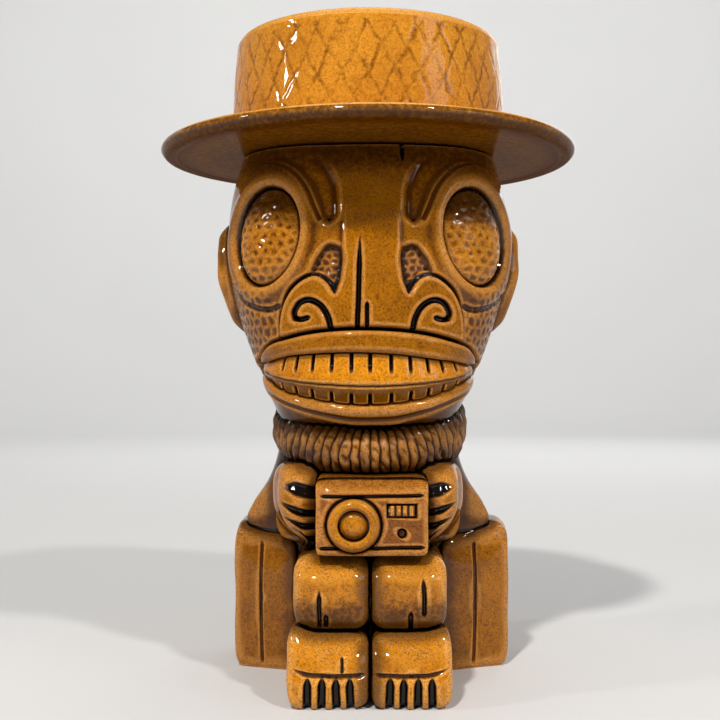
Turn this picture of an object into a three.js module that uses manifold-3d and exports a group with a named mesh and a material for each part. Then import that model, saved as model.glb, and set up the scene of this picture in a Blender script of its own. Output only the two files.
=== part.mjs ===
// A glazed ceramic tiki mug: a figure in a straw boater sits between two seat blocks and holds a camera.
// The mug is a hollow casting with clay parts luted on to it, and the hat is a hollow lid that lifts off.
// Millimetres, +Z up. The face looks along -Y, and left_ parts are at -X.
// The origin is on the hat's axis, on the table.
import * as THREE from "three";
import { mergeVertices } from "three/addons/utils/BufferGeometryUtils.js";
import Module from "manifold-3d";

const wasm = await Module();
wasm.setup();

// ---- Driving dimensions ----
const HEIGHT = 200; // table to the top of the crown
const JOINT = 0.3; // slip joint between two clay parts, and the air under the resting hat
const WALL = 4.6; // cast wall of the mug
const FLOOR = 6; // thickness of the mug's floor

const CROWN_HEIGHT = 32.5;
const CROWN_BASE_RADIUS = 44;
const CROWN_TOP_RADIUS = 41.8;
const CROWN_WALL = 4.4;
const CROWN_EDGE = 2; // rounding of the crown's top edge
const BRIM_RADIUS = 66;
const BRIM_THICKNESS = 4.6;
const MOUTH_RADIUS = 27; // bore of the mug's mouth
const SEAT_RADIUS = 26.2; // outside of the ring that drops into the mouth
const SEAT_BORE = 21.8;
const SEAT_DEPTH = 7; // how far the ring reaches into the mouth
const DECK_THICKNESS = 5.5; // of the head's flat top, round the mouth

const CROWN_BASE = HEIGHT - CROWN_HEIGHT;
const BRIM_TOP = CROWN_BASE - JOINT;
const BRIM_UNDERSIDE = BRIM_TOP - BRIM_THICKNESS;
const DECK = BRIM_UNDERSIDE - JOINT; // top of the head, where the hat rests

// The casting's outer form from the table up: height, half width, reach to the front, reach to the back.
const FORM = [
  [0, 24, 13, 33],
  [26, 24.5, 14, 35],
  [38, 28.6, 12, 36],
  [46, 38.6, 12, 36],
  [52, 37.2, 14, 35],
  [60, 31, 18, 32],
  [68, 26, 19.5, 28],
  [75, 25.5, 22, 27.5],
  [81, 28.4, 34, 29.5],
  [90, 32.4, 40, 33],
  [98, 35.6, 41.2, 36],
  [110, 40, 41.2, 40],
  [124, 43.6, 40.4, 42],
  [137, 44.8, 38.5, 43],
  [150, 43.3, 35, 41],
  [DECK, 40.2, 30.6, 37.5],
];
const FORM_EXPONENT = 2.5; // of its superellipse sections: 2 is an ellipse, and more is boxier
const FORM_RINGS = 24;
const CAVITY_RINGS = 12;
const FORM_SIDES = 30;

const NOSE_BRIDGE = { x: 0, y: -36, z: 124, halfSize: [8, 7.5, 19], exponent: 2.3 };
const NOSTRIL = { x: 15.5, y: -34, z: 113, halfSize: [9, 9, 6.6], exponent: 2.4 };
const EAR = { x: 44.2, y: 1, z: 125, halfSize: [3.8, 7.5, 18], exponent: 2.6, lean: 0.12 };
const EYE = { x: 32.2, z: 135.6, halfWidth: 10.4, halfHeight: 14.6 };
const SOCKET_DEPTH = 2.8;
const MOUTH_CORNER = { x: 34.5, z: 93.5 };
const TEETH_TOP = 5.8; // rise of the upper teeth's arc over the corners
const TEETH_BOTTOM = 8.2; // drop of the lower teeth's arc under them
const BITE = 91.2; // height of the line between the rows of teeth
const LIP_HALF_WIDTH = 36;
const UPPER_LIP_TOP = 106.4;
const LOWER_LIP_BOTTOM = 80.2;
const FACE_DEPTH_START = 10; // the face's relief ends this far in front of the hat's axis
const LIP_THICKNESS = 4.4;
const TEETH_THICKNESS = 2.2;

const CAMERA = { width: 31.6, height: 21.6, bottom: 42.4, front: -46, depth: 24 };
const LENS = { x: -4.6, z: 51.2, radius: 7.5, glassRadius: 3.9, length: 3 };
const VIEWFINDER = { x: 8.6, z: 55.4, width: 8.8, height: 4, depth: 1.3 };
const KNOB = { x: 9, z: 48.8, radius: 1.1, length: 1 };
const POCKET_MARGIN = 0.4; // round the pieces set into the camera's face

// The garland's centre line is an oval that drops towards the front.
const GARLAND = { acrossRadius: 23.6, alongRadius: 28, y: -1.5, z: 75.8, drop: 4.8, thicknessRadius: 6.6 };
const ARM = { x: 21.6, y: -20, z: 54.6, halfSize: [7.6, 17, 12.2], exponent: 3.2 };
const LEG = { x: 11.3, z: 31.4, width: 21.6, height: 21.6, front: -46, back: -9 };
const FOOT = { x: 11.9, width: 23, height: 20.3, front: -51, back: -9 };
const SEAT_BLOCK = { inside: 22.8, outside: 43.4, front: -11, back: 30, height: 46.5, turnBack: 0.35 };

const GLAZE = {
  mug: new THREE.MeshStandardMaterial({ color: 0x9c5e16, roughness: 0.12, metalness: 0 }),
  hat: new THREE.MeshStandardMaterial({ color: 0xb87422, roughness: 0.12, metalness: 0 }),
  relief: new THREE.MeshStandardMaterial({ color: 0xa9682a, roughness: 0.15, metalness: 0 }),
  dark: new THREE.MeshStandardMaterial({ color: 0x6e3f10, roughness: 0.15, metalness: 0 }),
};

// ---- From three.js geometry to manifold solids and back ----

function solidOf(geometry) {
  const bare = new THREE.BufferGeometry();
  bare.setAttribute("position", geometry.getAttribute("position"));
  if (geometry.index) bare.setIndex(geometry.index);
  const merged = mergeVertices(bare, 1e-4);
  return new wasm.Manifold(
    new wasm.Mesh({
      numProp: 3,
      vertProperties: new Float32Array(merged.getAttribute("position").array),
      triVerts: new Uint32Array(merged.index.array),
    }),
  );
}

function meshOf(name, solid, material) {
  const made = solid.getMesh();
  const geometry = new THREE.BufferGeometry();
  geometry.setAttribute("position", new THREE.BufferAttribute(made.vertProperties, 3));
  geometry.setIndex(new THREE.BufferAttribute(made.triVerts, 1));
  geometry.computeVertexNormals();
  const mesh = new THREE.Mesh(geometry, material);
  mesh.name = name;
  return mesh;
}

function without(solid, ...cutters) {
  return cutters.reduce((left, cutter) => left.subtract(cutter), solid);
}

function moveVertices(geometry, place) {
  const positions = geometry.getAttribute("position");
  const point = new THREE.Vector3();
  for (let i = 0; i < positions.count; i++) {
    place(point.fromBufferAttribute(positions, i));
    positions.setXYZ(i, point.x, point.y, point.z);
  }
  return geometry;
}

// ---- Basic shapes ----

// A profile of [radius, height] points turned round the Z axis.
function turned(profile, sides) {
  const points = profile.map(([radius, height]) => new THREE.Vector2(radius, height));
  return new THREE.LatheGeometry(points, sides).rotateX(Math.PI / 2);
}

function cylinder(radius, low, high, sides) {
  return turned([[0, low], [radius, low], [radius, high], [0, high]], sides);
}

// A box with round corners in its front view and a bevel round its front and back, grown by a distance.
function block({ centre, size, corner, bevel }, grow = 0) {
  const halfWidth = size[0] / 2 - bevel + grow;
  const halfHeight = size[2] / 2 - bevel + grow;
  const depth = size[1] - 2 * bevel + 2 * grow;
  const outline = new THREE.Shape();
  const round = corner - bevel;
  outline.absarc(halfWidth - round, halfHeight - round, round, 0, Math.PI / 2, false);
  outline.absarc(round - halfWidth, halfHeight - round, round, Math.PI / 2, Math.PI, false);
  outline.absarc(round - halfWidth, round - halfHeight, round, Math.PI, 1.5 * Math.PI, false);
  outline.absarc(halfWidth - round, round - halfHeight, round, 1.5 * Math.PI, 2 * Math.PI, false);
  outline.closePath();
  const bevels = { bevelThickness: bevel, bevelSize: bevel, bevelSegments: 2 };
  const geometry = new THREE.ExtrudeGeometry(outline, { depth, curveSegments: 3, ...bevels });
  return geometry.translate(0, 0, -depth / 2).rotateX(Math.PI / 2).translate(...centre);
}

// A lump with swollen sides, on the left (-1), the right (+1) or the middle (0) of the figure.
// It is an ellipsoid at exponent 2, and boxier above that.
function lump({ x, y, z, halfSize, exponent, lean = 0 }, side, grow = 0) {
  const geometry = new THREE.SphereGeometry(1, 16, 10).rotateX(Math.PI / 2);
  moveVertices(geometry, (p) => {
    const sum = Math.abs(p.x) ** exponent + Math.abs(p.y) ** exponent + Math.abs(p.z) ** exponent;
    p.divideScalar(sum ** (1 / exponent));
    p.set(p.x * (halfSize[0] + grow), p.y * (halfSize[1] + grow), p.z * (halfSize[2] + grow));
  });
  return solidOf(geometry.rotateY(side * lean).translate(side * x, y, z));
}

// ---- The casting's outer form ----

// The form's half width, front or back at a height, as a smooth curve through its stations.
function formValue(height, column) {
  const z = THREE.MathUtils.clamp(height, 0, DECK);
  let i = 0;
  while (i < FORM.length - 2 && z > FORM[i + 1][0]) i++;
  const before = FORM[Math.max(i - 1, 0)];
  const low = FORM[i];
  const high = FORM[i + 1];
  const after = FORM[Math.min(i + 2, FORM.length - 1)];
  const span = high[0] - low[0];
  const t = (z - low[0]) / span;
  const slopeLow = ((high[column] - before[column]) / (high[0] - before[0])) * span;
  const slopeHigh = ((after[column] - low[column]) / (after[0] - low[0])) * span;
  return (
    (2 * t ** 3 - 3 * t ** 2 + 1) * low[column] +
    (t ** 3 - 2 * t ** 2 + t) * slopeLow +
    (-2 * t ** 3 + 3 * t ** 2) * high[column] +
    (t ** 3 - t ** 2) * slopeHigh
  );
}

// The closed form between two heights, grown outwards by a distance, or shrunk by a negative one.
function form(grow, low = -grow, high = DECK + grow, rings = FORM_RINGS) {
  const profile = [[0, low]];
  for (let ring = 0; ring <= rings; ring++) {
    profile.push([1, THREE.MathUtils.lerp(low, high, ring / rings)]);
  }
  profile.push([0, high]);
  const geometry = turned(profile, FORM_SIDES);
  moveVertices(geometry, (p) => {
    const share = Math.hypot(p.x, p.y);
    if (share < 1e-6) return;
    const across = formValue(p.z, 1) + grow;
    const along = formValue(p.z, p.y < 0 ? 2 : 3) + grow;
    const sum =
      Math.abs(p.x / share / across) ** FORM_EXPONENT + Math.abs(p.y / share / along) ** FORM_EXPONENT;
    const reach = sum ** (-1 / FORM_EXPONENT);
    p.x *= reach;
    p.y *= reach;
  });
  return solidOf(geometry);
}

// An outline in X and Z, driven through the front of the form, between two distances from its skin.
function applique(outline, inner, outer) {
  const slab = new THREE.ExtrudeGeometry(outline, { depth: 60, bevelEnabled: false, curveSegments: 9 });
  const front = slab.rotateX(Math.PI / 2).translate(0, -FACE_DEPTH_START, 0);
  return solidOf(front).intersect(form(outer)).subtract(form(inner));
}

// ---- The face ----

function eyeOutline(side, inset) {
  const outline = new THREE.Shape();
  const halfWidth = EYE.halfWidth - inset;
  const halfHeight = EYE.halfHeight - inset;
  outline.absellipse(side * EYE.x, EYE.z, halfWidth, halfHeight, 0, 2 * Math.PI, false);
  return outline;
}

// The almond between an outer arc and an inner arc, on the upper (+1) or lower (-1) side of the mouth.
function lipOutline(side, reach) {
  const { x, z } = MOUTH_CORNER;
  const outline = new THREE.Shape();
  const outerCentre = z + side * 1.5;
  const height = Math.abs(reach - outerCentre);
  outline.absellipse(0, outerCentre, LIP_HALF_WIDTH, height, 0, side * Math.PI, side < 0);
  outline.lineTo(-x, z);
  const innerRise = side > 0 ? TEETH_TOP : TEETH_BOTTOM;
  outline.absellipse(0, z, x, innerRise, Math.PI, 0, side > 0);
  return outline;
}

// One row of teeth, between the mouth's arc and the bite line.
function teethOutline(side) {
  const { x, z } = MOUTH_CORNER;
  const halfWidth = x - 1.5;
  const rise = (side > 0 ? TEETH_TOP : TEETH_BOTTOM) - JOINT;
  const bite = BITE + (side * JOINT) / 2;
  const outline = new THREE.Shape();
  outline.absellipse(0, z, halfWidth, rise, 0, side * Math.PI, side < 0);
  outline.quadraticCurveTo(-halfWidth / 2, bite, 0, bite);
  outline.quadraticCurveTo(halfWidth / 2, bite, halfWidth, z);
  return outline;
}

// ---- Luted parts, each as a function of how far it is grown, so that its neighbour can be cut to fit ----

const bodyForm = (grow) => form(grow);

function cameraBlock(grow) {
  const { width, height, bottom, front, depth } = CAMERA;
  const centre = [0, front + depth / 2, bottom + height / 2];
  return solidOf(block({ centre, size: [width, depth, height], corner: 1.4, bevel: 0.7 }, grow));
}

class GarlandLine extends THREE.Curve {
  getPoint(t, target = new THREE.Vector3()) {
    const angle = t * 2 * Math.PI;
    const { acrossRadius, alongRadius, y, z, drop } = GARLAND;
    const forward = Math.cos(angle);
    return target.set(acrossRadius * Math.sin(angle), y - alongRadius * forward, z - drop * forward);
  }
}

// The garland is a thick round roll, closed on itself at the back of the neck.
function garlandRoll(grow) {
  const path = new THREE.CatmullRomCurve3(new GarlandLine().getPoints(24).slice(0, -1), true);
  const section = new THREE.Shape();
  section.absarc(0, 0, GARLAND.thicknessRadius + grow, 0, 2 * Math.PI, false);
  const sweep = { extrudePath: path, steps: 32, bevelEnabled: false, curveSegments: 5 };
  return solidOf(new THREE.ExtrudeGeometry(section, sweep));
}

const arm = (side) => (grow) => lump(ARM, side, grow);

function leg(side) {
  const centre = [side * LEG.x, (LEG.front + LEG.back) / 2, LEG.z];
  const size = [LEG.width, LEG.back - LEG.front, LEG.height];
  return (grow) => solidOf(block({ centre, size, corner: 6.5, bevel: 3 }, grow));
}

function foot(side) {
  const centre = [side * FOOT.x, (FOOT.front + FOOT.back) / 2, FOOT.height / 2];
  const size = [FOOT.width, FOOT.back - FOOT.front, FOOT.height];
  return (grow) => solidOf(block({ centre, size, corner: 5, bevel: 2.5 }, grow));
}

// A block of the seat: its front face turns back towards the outside.
function seatBlock(side) {
  const { inside, outside, front, back, height, turnBack } = SEAT_BLOCK;
  const centre = [(side * (inside + outside)) / 2, (front + back) / 2, height / 2];
  const size = [outside - inside, back - front, height];
  const geometry = block({ centre, size, corner: 3.5, bevel: 1.5 });
  moveVertices(geometry, (p) => {
    if (p.y < centre[1]) p.y += (Math.abs(p.x) - inside) * turnBack;
  });
  return solidOf(geometry);
}

// ---- The mug ----

const SIDES = [["left", -1], ["right", 1]];
const mouthBore = solidOf(cylinder(MOUTH_RADIUS, DECK - DECK_THICKNESS - 1, DECK + 1, 48));
const cavity = form(-WALL, FLOOR, DECK - DECK_THICKNESS, CAVITY_RINGS);
const sockets = SIDES.map(([, side]) => applique(eyeOutline(side, 0), -SOCKET_DEPTH, 2));
const nose = lump(NOSE_BRIDGE, 0).add(lump(NOSTRIL, -1)).add(lump(NOSTRIL, 1));
const casting = without(bodyForm(0).add(nose), cavity, mouthBore, ...sockets);

const mug = new THREE.Group();
mug.add(meshOf("mug_body", casting, GLAZE.mug));

for (const [hand, side] of SIDES) {
  const eye = applique(eyeOutline(side, 0.5), JOINT - SOCKET_DEPTH, 0.2);
  mug.add(meshOf(`${hand}_eye`, eye, GLAZE.relief));
  mug.add(meshOf(`${hand}_ear`, without(lump(EAR, side), bodyForm(JOINT)), GLAZE.mug));
}

for (const [row, side, reach] of [["upper", 1, UPPER_LIP_TOP], ["lower", -1, LOWER_LIP_BOTTOM]]) {
  const lip = applique(lipOutline(side, reach), JOINT, LIP_THICKNESS);
  const teeth = applique(teethOutline(side), JOINT, TEETH_THICKNESS);
  mug.add(meshOf(`${row}_lip`, lip, GLAZE.relief));
  mug.add(meshOf(`${row}_teeth`, teeth, GLAZE.hat));
}

// ---- The camera, with what is set into and on to its face ----

// A turned shape laid along -Y, with its height zero at y.
function frontward(geometry, { x, z }, y) {
  return solidOf(geometry.rotateX(Math.PI / 2).translate(x, y, z));
}

const lensBore = LENS.glassRadius + JOINT;
const lensRingProfile = [
  [lensBore, 0],
  [LENS.radius, 0],
  [LENS.radius, LENS.length - 1],
  [LENS.radius - 1, LENS.length],
  [lensBore, LENS.length],
  [lensBore, 0],
];
const lensProfile = [
  [0, 0],
  [LENS.glassRadius, 0],
  [LENS.glassRadius, 1],
  [LENS.glassRadius * 0.67, 2.1],
  [0, 2.6],
];
const lensRing = frontward(turned(lensRingProfile, 32), LENS, CAMERA.front - JOINT);
const lens = frontward(turned(lensProfile, 24), LENS, CAMERA.front - JOINT);

// A pin in the knob's place, from a depth behind the camera's face to a height in front of it.
function knobPin(radius, depth, height) {
  return frontward(cylinder(radius, -depth, height, 16), KNOB, CAMERA.front);
}

function viewfinderBlock(margin, depth) {
  const { x, z, width, height } = VIEWFINDER;
  const size = [width - 2 * margin, depth, height - 2 * margin];
  const y = CAMERA.front + VIEWFINDER.depth - depth / 2;
  return solidOf(new THREE.BoxGeometry(...size).translate(x, y, z));
}

const pockets = [
  viewfinderBlock(0, VIEWFINDER.depth + 1),
  knobPin(KNOB.radius + POCKET_MARGIN, KNOB.length + JOINT, 1),
];
const viewfinder = viewfinderBlock(POCKET_MARGIN, VIEWFINDER.depth - JOINT).translate([0, -JOINT, 0]);

mug.add(meshOf("camera_body", without(cameraBlock(0), bodyForm(JOINT), ...pockets), GLAZE.relief));
mug.add(meshOf("camera_lens_ring", lensRing, GLAZE.relief));
mug.add(meshOf("camera_lens", lens, GLAZE.hat));
mug.add(meshOf("camera_viewfinder", viewfinder, GLAZE.hat));
mug.add(meshOf("camera_knob", knobPin(KNOB.radius, KNOB.length, 0), GLAZE.dark));

// ---- Garland, limbs and seat ----

const trunkAndCamera = [bodyForm(JOINT), cameraBlock(JOINT)];
mug.add(meshOf("garland_collar", without(garlandRoll(0), ...trunkAndCamera), GLAZE.relief));
for (const [hand, side] of SIDES) {
  const besideArm = [...trunkAndCamera, garlandRoll(JOINT)];
  const besideLeg = [...trunkAndCamera, arm(side)(JOINT)];
  const besideFoot = [bodyForm(JOINT), leg(side)(JOINT)];
  const besideBlock = [bodyForm(JOINT), arm(side)(JOINT), leg(side)(JOINT), foot(side)(JOINT)];
  mug.add(meshOf(`${hand}_arm`, without(arm(side)(0), ...besideArm), GLAZE.mug));
  mug.add(meshOf(`${hand}_leg`, without(leg(side)(0), ...besideLeg), GLAZE.mug));
  mug.add(meshOf(`${hand}_foot`, without(foot(side)(0), ...besideFoot), GLAZE.relief));
  mug.add(meshOf(`${hand}_seat_block`, without(seatBlock(side), ...besideBlock), GLAZE.mug));
}

// ---- The hat, which is the lid: its heights are from the brim's underside ----

const hat = new THREE.Group();
hat.position.z = BRIM_UNDERSIDE;

// Points of a quarter circle from the outside round to the top, for a rounded top edge.
function roundedEdge(radius, top, rounding, steps = 2) {
  return Array.from({ length: steps + 1 }, (_, i) => {
    const angle = (i / steps) * (Math.PI / 2);
    return [radius - rounding * (1 - Math.cos(angle)), top - rounding * (1 - Math.sin(angle))];
  });
}

const crownBase = BRIM_THICKNESS + JOINT;
const crownTop = crownBase + CROWN_HEIGHT;
const crownProfile = [
  [0, crownTop - CROWN_WALL],
  [CROWN_TOP_RADIUS - CROWN_WALL, crownTop - CROWN_WALL],
  [CROWN_BASE_RADIUS - CROWN_WALL, crownBase],
  [CROWN_BASE_RADIUS, crownBase],
  ...roundedEdge(CROWN_TOP_RADIUS, crownTop, CROWN_EDGE),
  [0, crownTop],
];
const brimEdge = BRIM_THICKNESS / 2 - 0.3;
const brimProfile = [
  [SEAT_BORE, 0],
  ...roundedEdge(BRIM_RADIUS, BRIM_THICKNESS, brimEdge).map(([r, z]) => [r, BRIM_THICKNESS - z]).reverse(),
  ...roundedEdge(BRIM_RADIUS, BRIM_THICKNESS, brimEdge),
  [SEAT_BORE, BRIM_THICKNESS],
  [SEAT_BORE, 0],
];
const seatRingProfile = [
  [SEAT_BORE, -JOINT - SEAT_DEPTH],
  [SEAT_RADIUS - 1, -JOINT - SEAT_DEPTH],
  [SEAT_RADIUS, 1 - JOINT - SEAT_DEPTH],
  [SEAT_RADIUS, -JOINT],
  [SEAT_BORE, -JOINT],
  [SEAT_BORE, -JOINT - SEAT_DEPTH],
];
const HAT_SIDES = 48;
hat.add(meshOf("hat_crown", solidOf(turned(crownProfile, HAT_SIDES)), GLAZE.hat));
hat.add(meshOf("hat_brim", solidOf(turned(brimProfile, HAT_SIDES)), GLAZE.hat));
hat.add(meshOf("hat_seat_ring", solidOf(turned(seatRingProfile, HAT_SIDES)), GLAZE.mug));

const tikiMug = new THREE.Group();
tikiMug.add(mug, hat);

export default tikiMug;
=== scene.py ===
"""A glazed ceramic tiki mug: a seated figure in a straw boater that holds a camera. The hat is its lid.

The clay is sculpted in millimetres, in the frame of the CAD model, and its meshes are made in metres.
The face looks along -Y, and left_ pieces are at -X. A side is -1 on the left and 1 on the right.
"""
import functools
import math

import bpy
import numpy as np
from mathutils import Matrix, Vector, kdtree
from mathutils.bvhtree import BVHTree


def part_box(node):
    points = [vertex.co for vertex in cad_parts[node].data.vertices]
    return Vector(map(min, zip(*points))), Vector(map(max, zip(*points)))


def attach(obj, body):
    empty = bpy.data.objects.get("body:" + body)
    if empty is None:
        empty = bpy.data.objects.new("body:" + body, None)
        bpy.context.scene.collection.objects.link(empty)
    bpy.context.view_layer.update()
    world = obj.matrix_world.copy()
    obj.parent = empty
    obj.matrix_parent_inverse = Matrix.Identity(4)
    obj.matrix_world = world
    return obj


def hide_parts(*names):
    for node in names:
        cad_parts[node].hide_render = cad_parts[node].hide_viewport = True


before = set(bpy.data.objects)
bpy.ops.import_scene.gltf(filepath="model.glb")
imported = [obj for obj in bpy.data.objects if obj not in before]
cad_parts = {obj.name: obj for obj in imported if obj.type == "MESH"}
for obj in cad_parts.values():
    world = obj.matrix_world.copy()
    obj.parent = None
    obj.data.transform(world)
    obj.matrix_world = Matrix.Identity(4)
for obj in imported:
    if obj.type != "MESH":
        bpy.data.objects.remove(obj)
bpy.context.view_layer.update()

MM = 0.001
FULL_TURN = 2 * math.pi


def detail(final):
    return final


# ---- Places from the frame, in millimetres ----

def node_box(node):
    low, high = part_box(node)
    return np.array(low) / MM, np.array(high) / MM


def sided(side, part):
    """The name and the box of a node that has a left and a right one."""
    name = ("left_" if side < 0 else "right_") + part
    return name, *node_box(name)


BRIM_LOW, BRIM_HIGH = node_box("hat_brim")
CROWN_LOW, CROWN_HIGH = node_box("hat_crown")
RING_LOW, RING_HIGH = node_box("hat_seat_ring")
CAMERA_LOW, CAMERA_HIGH = node_box("camera_body")
LENS_LOW, LENS_HIGH = node_box("camera_lens_ring")
DECK = node_box("mug_body")[1][2]  # the head's flat top, which the hat rests on
MIDDLE = 1.0  # the face and the camera sit this far to the right of the hat's axis

# The casting's outer form from the table up: height, half width, reach to the front, reach to the back.
FORM = np.array([
    [0, 24, 13, 33],
    [26, 24.5, 14, 35],
    [38, 29, 9, 36],
    [46, 38.8, 5.5, 36],
    [52, 37.4, 9, 35],
    [60, 32.2, 18, 32],
    [67, 29.5, 19.5, 29],
    [75, 28.2, 22, 28],
    [81, 28.8, 34, 29.5],
    [90, 32.6, 40, 33],
    [98, 35.8, 41.2, 36],
    [110, 40.2, 41.2, 40],
    [124, 43.6, 40.8, 42],
    [137, 44.8, 39.5, 43],
    [150, 43.3, 36.3, 41],
    [DECK, 40.2, 31, 37.5],
])
HALF_WIDTH, FRONT, BACK = 1, 2, 3  # columns of the form
ROUND = 2.5  # exponent of the form's superellipse sections
WALL = 4.6
FLOOR = 6
DECK_THICKNESS = 5.5
MOUTH_RADIUS = 27
HAT_WALL = 4.4


# ---- Small mathematics ----

def smooth(low, high, value):
    t = np.clip((value - low) / (high - low), 0, 1)
    return t * t * (3 - 2 * t)


def unit(vectors):
    return vectors / np.linalg.norm(vectors, axis=-1, keepdims=True)


def vectors(x, y, z):
    return np.stack([x, y, z], axis=-1)


def round_angles(count):
    return np.linspace(0, FULL_TURN, count, endpoint=False)


def signed_power(value, power):
    return np.abs(value) ** power * np.sign(value)


def form_column(z, column):
    """The form's half width, front or back at each height, as a smooth curve through its stations."""
    z = np.clip(z, FORM[0, 0], FORM[-1, 0])
    i = np.clip(np.searchsorted(FORM[:, 0], z, side="left") - 1, 0, len(FORM) - 2)
    before = FORM[np.maximum(i - 1, 0)]
    low, high = FORM[i], FORM[i + 1]
    after = FORM[np.minimum(i + 2, len(FORM) - 1)]
    span = high[..., 0] - low[..., 0]
    t = (z - low[..., 0]) / span
    slope_low = (high[..., column] - before[..., column]) / (high[..., 0] - before[..., 0]) * span
    slope_high = (after[..., column] - low[..., column]) / (after[..., 0] - low[..., 0]) * span
    return (
        (2 * t**3 - 3 * t**2 + 1) * low[..., column]
        + (t**3 - 2 * t**2 + t) * slope_low
        + (3 * t**2 - 2 * t**3) * high[..., column]
        + (t**3 - t**2) * slope_high
    )


def form_point(angle, z, grow=0.0):
    """Points of the form in the directions of angle, where zero is the front and +90 degrees is +X."""
    east, north = np.sin(angle), -np.cos(angle)
    across = form_column(z, HALF_WIDTH) + grow
    along = np.where(north < 0, form_column(z, FRONT), form_column(z, BACK)) + grow
    reach = (np.abs(east / across) ** ROUND + np.abs(north / along) ** ROUND) ** (-1 / ROUND)
    return vectors(east * reach, north * reach, z + 0 * reach)


def front_skin(x, z):
    """The form's front skin at x and z, and its outward normal there."""
    step = 0.05

    def skin(x, z):
        share = np.clip(np.abs(x) / form_column(z, HALF_WIDTH), 0, 0.9999)
        return -form_column(z, FRONT) * (1 - share**ROUND) ** (1 / ROUND)

    y = skin(x, z)
    slope_x = (skin(x + step, z) - skin(x - step, z)) / (2 * step)
    slope_z = (skin(x, z + step) - skin(x, z - step)) / (2 * step)
    return vectors(x, y, z), unit(vectors(slope_x, -np.ones_like(y), slope_z))


def flowing(points, closed=False, steps=8):
    """A smooth line through the points."""
    p = np.array(points, float)
    if closed:
        p = np.vstack([p[-1], p, p[0], p[1]])
    else:
        p = np.vstack([2 * p[0] - p[1], p, 2 * p[-1] - p[-2]])
    t = np.arange(steps)[:, None] / steps
    runs = []
    for a, b, c, d in zip(p[:-3], p[1:-2], p[2:-1], p[3:]):
        square, cube = 2 * a - 5 * b + 4 * c - d, 3 * b - a - 3 * c + d
        runs.append(0.5 * (2 * b + (c - a) * t + square * t**2 + cube * t**3))
    line = np.vstack(runs)
    return line if closed else np.vstack([line, p[-2]])


def distance_to(line, x, z, reach=1e9):
    """Each point's distance to an open line, and the share of the line before its nearest place."""
    distance = np.full(x.shape, reach, float)
    along = np.zeros(x.shape)
    near = (
        (x > line[:, 0].min() - reach) & (x < line[:, 0].max() + reach)
        & (z > line[:, 1].min() - reach) & (z < line[:, 1].max() + reach)
    )
    if not near.any():
        return distance, along
    px, pz = x[near], z[near]
    best = np.full(px.shape, reach, float)
    place = np.zeros(px.shape)
    lengths = np.hypot(*np.diff(line, axis=0).T)
    starts = np.concatenate([[0], np.cumsum(lengths)])
    for (ax, az), (bx, bz), length, start in zip(line[:-1], line[1:], lengths, starts):
        if length == 0:
            continue
        t = np.clip(((px - ax) * (bx - ax) + (pz - az) * (bz - az)) / length**2, 0, 1)
        d = np.hypot(px - ax - t * (bx - ax), pz - az - t * (bz - az))
        closer = d < best
        best[closer] = d[closer]
        place[closer] = (start + t[closer] * length) / starts[-1]
    distance[near] = best
    along[near] = place
    return distance, along


def inside_of(outline, x, z, reach=6.0):
    """How deep each point is inside a closed outline: negative outside, and never below -reach."""
    ring = np.vstack([outline, outline[0]])
    distance, _ = distance_to(ring, x, z, reach)
    crossings = np.zeros(x.shape, int)
    for (ax, az), (bx, bz) in zip(ring[:-1], ring[1:]):
        if az == bz:
            continue
        spans = (az > z) != (bz > z)
        crossings += spans & (x < (bx - ax) * (z - az) / (bz - az) + ax)
    return np.where(crossings % 2 == 1, distance, -distance)


def gouge(points, x, z, width, depth, taper=(0.0, 0.0)):
    """A carved groove's depth at each point. The tapers are the shares of its line that fade at the ends."""
    distance, along = distance_to(flowing(points), x, z, width * 1.5)
    fade = np.ones_like(distance)
    if taper[0] > 0:
        fade *= smooth(0, taper[0], along + 0.02)
    if taper[1] > 0:
        fade *= smooth(0, taper[1], 1.02 - along)
    half = width / 2 * (0.35 + 0.65 * fade)
    return depth * fade * (1 - smooth(0.35, 1.15, distance / half))


class Carving:
    """Height over a surface at x and z in the front view, with the staining in its cuts and any painted shade
    laid on it.
    """

    def __init__(self, x, z, mask=1.0):
        self.x, self.z, self.mask = x, z, mask
        self.height = np.zeros_like(x)
        self.stain_and_shade = np.zeros_like(x)

    def darken(self, stain_and_shade):
        self.stain_and_shade = np.maximum(self.stain_and_shade, stain_and_shade)

    def cut(self, depth, darkness):
        self.height = self.height - depth
        self.darken(np.clip(depth * darkness, 0, 1))

    def groove(self, points, width, depth, taper=(0.0, 0.0), darkness=0.8):
        self.cut(gouge(points, self.x, self.z, width, depth, taper) * self.mask, darkness)

    def sink(self, share, depth):
        """Takes a share of the way down to a flat bed."""
        self.height = self.height * (1 - share) - depth * share


def scattered(seed, low, high, spacing):
    """Cell centres on a jittered staggered grid over a rectangle."""
    draw = np.random.default_rng(seed)
    centres = []
    for row, z in enumerate(np.arange(low[1], high[1], spacing * 0.87)):
        for x in np.arange(low[0], high[0], spacing) + (row % 2) * spacing / 2:
            centres.append((x, z))
    centres = np.array(centres)
    return centres + draw.uniform(-0.24, 0.24, centres.shape) * spacing


def hammered(seed, low, high, spacing, x, z):
    """Shallow dimples over a rectangle: 1 in a dimple's middle, 0 on the ridges between them."""
    centres = scattered(seed, low, high, spacing)
    tree = kdtree.KDTree(len(centres))
    for i, (cx, cz) in enumerate(centres):
        tree.insert((cx, cz, 0), i)
    tree.balance()
    flat = np.empty(x.size)
    for i, (px, pz) in enumerate(zip(x.ravel(), z.ravel())):
        nearest, second = tree.find_n((px, pz, 0), 2)
        flat[i] = second[2] - nearest[2]
    return smooth(0.0, 0.9, flat.reshape(x.shape) / spacing)


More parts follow.
